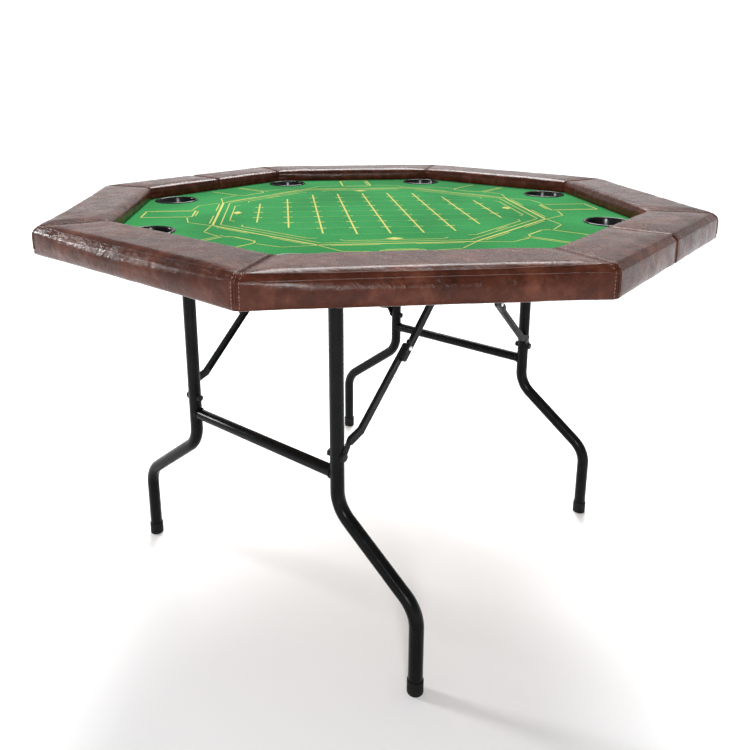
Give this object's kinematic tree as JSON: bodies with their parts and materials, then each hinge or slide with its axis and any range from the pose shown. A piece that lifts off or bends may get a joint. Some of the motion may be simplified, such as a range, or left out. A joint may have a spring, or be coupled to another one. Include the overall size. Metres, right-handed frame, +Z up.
{
  "type": "octagonal folding card table",
  "caption": "Octagonal card table with a padded leather rail, printed felt, drop-in cup holders and two folding steel leg frames with jointed braces.",
  "frame": {"origin": "on the floor, under the middle of the table", "axes": "+Z up; +X along the line where the two halves of the rail meet, which is also the direction of the crossbars; +Y across it, from leg frame a to leg frame b"},
  "size_m": [1.2192, 1.2192, 0.7676],
  "materials": {
    "deck_board": "bare fibreboard",
    "underlay": "thin white backing",
    "felt": "green felt with a pale yellow print",
    "core_wood": "raw board",
    "rail_leather": "glossy mottled brown, padded",
    "cup_plastic": "gloss black",
    "leg_paint": "gloss black",
    "foot_rubber": "satin black",
    "brace_paint": "satin black",
    "bolt_paint": "black",
    "rivet_steel": "bright zinc",
    "screw_steel": "zinc",
    "staple_steel": "plain wire"
  },
  "bodies": {
    "table_top": {"deck_panel": "deck_board", "felt_underlay": "underlay", "felt_cloth": "felt", "rail_core_a": "core_wood", "rail_core_b": "core_wood", "rail_pad_a": "rail_leather", "rail_pad_b": "rail_leather", "cup_holder_1": "cup_plastic", "cup_holder_2": "cup_plastic", "cup_holder_3": "cup_plastic", "cup_holder_4": "cup_plastic", "cup_holder_5": "cup_plastic", "cup_holder_6": "cup_plastic", "cup_holder_7": "cup_plastic", "cup_holder_8": "cup_plastic", "saddle_a1": "brace_paint", "saddle_a2": "brace_paint", "saddle_b1": "brace_paint", "saddle_b2": "brace_paint", "brace_bracket_1": "brace_paint", "brace_bracket_2": "brace_paint", "brace_pin_a1": "rivet_steel", "brace_pin_a2": "rivet_steel", "brace_pin_b1": "rivet_steel", "brace_pin_b2": "rivet_steel", "saddle_screws": "screw_steel", "bracket_screws": "screw_steel", "rail_screws": "screw_steel", "cover_staples": "staple_steel"},
    "leg_frame_a": {"leg_tube_a1": "leg_paint", "leg_tube_a2": "leg_paint", "pivot_tube_a": "leg_paint", "crossbar_a": "leg_paint", "foot_cap_a1": "foot_rubber", "foot_cap_a2": "foot_rubber", "leg_bolt_a1": "bolt_paint", "leg_bolt_a2": "bolt_paint"},
    "leg_frame_b": {"leg_tube_b1": "leg_paint", "leg_tube_b2": "leg_paint", "pivot_tube_b": "leg_paint", "crossbar_b": "leg_paint", "foot_cap_b1": "foot_rubber", "foot_cap_b2": "foot_rubber", "leg_bolt_b1": "bolt_paint", "leg_bolt_b2": "bolt_paint"},
    "lower_brace_a1": {"lower_arm_a1": "brace_paint"},
    "lower_brace_a2": {"lower_arm_a2": "brace_paint"},
    "lower_brace_b1": {"lower_arm_b1": "brace_paint"},
    "lower_brace_b2": {"lower_arm_b2": "brace_paint"},
    "upper_brace_a1": {"upper_arm_a1": "brace_paint", "knee_rivet_a1": "rivet_steel"},
    "upper_brace_a2": {"upper_arm_a2": "brace_paint", "knee_rivet_a2": "rivet_steel"},
    "upper_brace_b1": {"upper_arm_b1": "brace_paint", "knee_rivet_b1": "rivet_steel"},
    "upper_brace_b2": {"upper_arm_b2": "brace_paint", "knee_rivet_b2": "rivet_steel"}
  },
  "joints": [
    {"name": "leg_fold_a", "type": "hinge", "parent": "table_top", "child": "leg_frame_a", "pos_m": [0, -0.344, 0.7031], "axis": [1, 0, 0], "range_deg": [0, 60]},
    {"name": "upper_brace_swing_a1", "type": "hinge", "parent": "table_top", "child": "upper_brace_a1", "pos_m": [0.2145, -0.008, 0.6901], "axis": [1, 0, 0], "range_deg": [-47, 0]},
    {"name": "lower_brace_swing_a1", "type": "hinge", "parent": "leg_frame_a", "child": "lower_brace_a1", "pos_m": [0.206, -0.344, 0.384], "axis": [1, 0, 0], "range_deg": [0, 38]},
    {"name": "upper_brace_swing_a2", "type": "hinge", "parent": "table_top", "child": "upper_brace_a2", "pos_m": [-0.2145, -0.008, 0.6901], "axis": [1, 0, 0], "range_deg": [-47, 0]},
    {"name": "lower_brace_swing_a2", "type": "hinge", "parent": "leg_frame_a", "child": "lower_brace_a2", "pos_m": [-0.206, -0.344, 0.384], "axis": [1, 0, 0], "range_deg": [0, 38]},
    {"name": "leg_fold_b", "type": "hinge", "parent": "table_top", "child": "leg_frame_b", "pos_m": [0, 0.344, 0.7031], "axis": [-1, 0, 0], "range_deg": [0, 48]},
    {"name": "upper_brace_swing_b1", "type": "hinge", "parent": "table_top", "child": "upper_brace_b1", "pos_m": [0.2145, 0.008, 0.6901], "axis": [-1, 0, 0], "range_deg": [-42, 0]},
    {"name": "lower_brace_swing_b1", "type": "hinge", "parent": "leg_frame_b", "child": "lower_brace_b1", "pos_m": [0.206, 0.344, 0.384], "axis": [-1, 0, 0], "range_deg": [0, 37]},
    {"name": "upper_brace_swing_b2", "type": "hinge", "parent": "table_top", "child": "upper_brace_b2", "pos_m": [-0.2145, 0.008, 0.6901], "axis": [-1, 0, 0], "range_deg": [-42, 0]},
    {"name": "lower_brace_swing_b2", "type": "hinge", "parent": "leg_frame_b", "child": "lower_brace_b2", "pos_m": [-0.206, 0.344, 0.384], "axis": [-1, 0, 0], "range_deg": [0, 37]}
  ],
  "couplings": [
    {"joint": "upper_brace_swing_a1", "follows": "leg_fold_a", "ratio": -0.7618},
    {"joint": "lower_brace_swing_a1", "follows": "leg_fold_a", "ratio": 0.6072},
    {"joint": "upper_brace_swing_a2", "follows": "leg_fold_a", "ratio": -0.7618},
    {"joint": "lower_brace_swing_a2", "follows": "leg_fold_a", "ratio": 0.6072},
    {"joint": "upper_brace_swing_b1", "follows": "leg_fold_b", "ratio": -0.8471},
    {"joint": "lower_brace_swing_b1", "follows": "leg_fold_b", "ratio": 0.7354},
    {"joint": "upper_brace_swing_b2", "follows": "leg_fold_b", "ratio": -0.8471},
    {"joint": "lower_brace_swing_b2", "follows": "leg_fold_b", "ratio": 0.7354}
  ]
}
